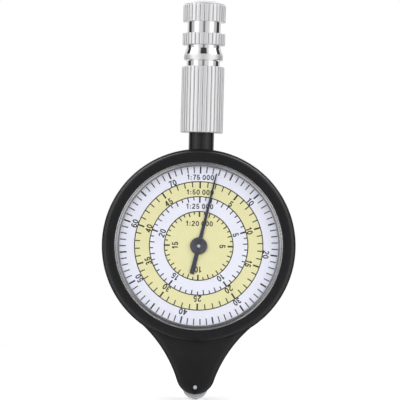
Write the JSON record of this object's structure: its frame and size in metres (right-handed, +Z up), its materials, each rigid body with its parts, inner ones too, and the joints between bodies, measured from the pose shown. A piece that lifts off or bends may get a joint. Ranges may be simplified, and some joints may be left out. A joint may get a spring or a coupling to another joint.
{
  "type": "map measurer",
  "caption": "Round two-sided map measurer with a small measuring wheel in its nose, a geared pointer on each dial and a fluted metal handle.",
  "frame": {"origin": "where the rim of the measuring wheel touches the map, at the centre of the bottom of the overall box", "axes": "+Z up along the handle, -Y out of the front dial, +X to the right as seen from the front"},
  "size_m": [0.052, 0.013, 0.1076],
  "materials": {
    "case_plastic": "black moulded plastic, soft gloss",
    "bezel_plastic": "black moulded plastic, polished",
    "crystal": "clear, polished, bevelled edge",
    "dial_ring": "satin grey",
    "dial": "matt white and pale yellow with black scales",
    "brass": "brushed",
    "gear_brass": "machined",
    "steel": "machined",
    "polished_steel": "polished",
    "wheel_steel": "turned, ridged rim",
    "pointer_blue": "dark blue-black, glossy",
    "handle_chrome": "bright plating, fluted"
  },
  "bodies": {
    "housing": {"front_case": "case_plastic", "rear_case": "case_plastic", "case_screws": "steel", "front_bezel": "bezel_plastic", "rear_bezel": "bezel_plastic", "front_crystal": "crystal", "rear_crystal": "crystal", "front_dial_ring": "dial_ring", "rear_dial_ring": "dial_ring", "front_dial": "dial", "rear_dial": "dial", "front_plate": "brass", "rear_plate": "brass", "plate_pillars": "brass", "plate_screws": "steel", "front_bush": "brass", "rear_bush": "brass", "wheel_pin": "polished_steel", "handle_stud": "steel", "handle_grip": "handle_chrome"},
    "wheel": {"measuring_wheel": "wheel_steel", "wheel_pinion": "gear_brass"},
    "first_set": {"first_arbor": "steel", "first_gear": "gear_brass", "first_pinion": "gear_brass"},
    "second_set": {"second_arbor": "steel", "second_gear": "gear_brass", "second_pinion": "gear_brass"},
    "third_set": {"third_arbor": "steel", "third_gear": "gear_brass", "third_pinion": "gear_brass"},
    "pointers": {"centre_arbor": "steel", "centre_gear": "gear_brass", "front_pointer": "pointer_blue", "front_pointer_hub": "pointer_blue", "rear_pointer": "pointer_blue", "rear_pointer_hub": "pointer_blue"}
  },
  "joints": [
    {"name": "pointer_spin", "type": "hinge", "parent": "housing", "child": "pointers", "pos_m": [0, 0, 0.04149], "axis": [0, 1, 0], "continuous": true},
    {"name": "third_gear_spin", "type": "hinge", "parent": "housing", "child": "third_set", "pos_m": [0.00121, 0, 0.03], "axis": [0, 1, 0], "continuous": true},
    {"name": "second_gear_spin", "type": "hinge", "parent": "housing", "child": "second_set", "pos_m": [-0.0002, 0, 0.01853], "axis": [0, 1, 0], "continuous": true},
    {"name": "first_gear_spin", "type": "hinge", "parent": "housing", "child": "first_set", "pos_m": [0, 0, 0.00854], "axis": [0, 1, 0], "continuous": true},
    {"name": "wheel_spin", "type": "hinge", "parent": "housing", "child": "wheel", "pos_m": [0, 0, 0.00354], "axis": [0, 1, 0], "continuous": true}
  ],
  "couplings": [
    {"joint": "third_gear_spin", "follows": "pointer_spin", "ratio": -2},
    {"joint": "second_gear_spin", "follows": "pointer_spin", "ratio": 5},
    {"joint": "first_gear_spin", "follows": "pointer_spin", "ratio": -15},
    {"joint": "wheel_spin", "follows": "pointer_spin", "ratio": 45}
  ]
}
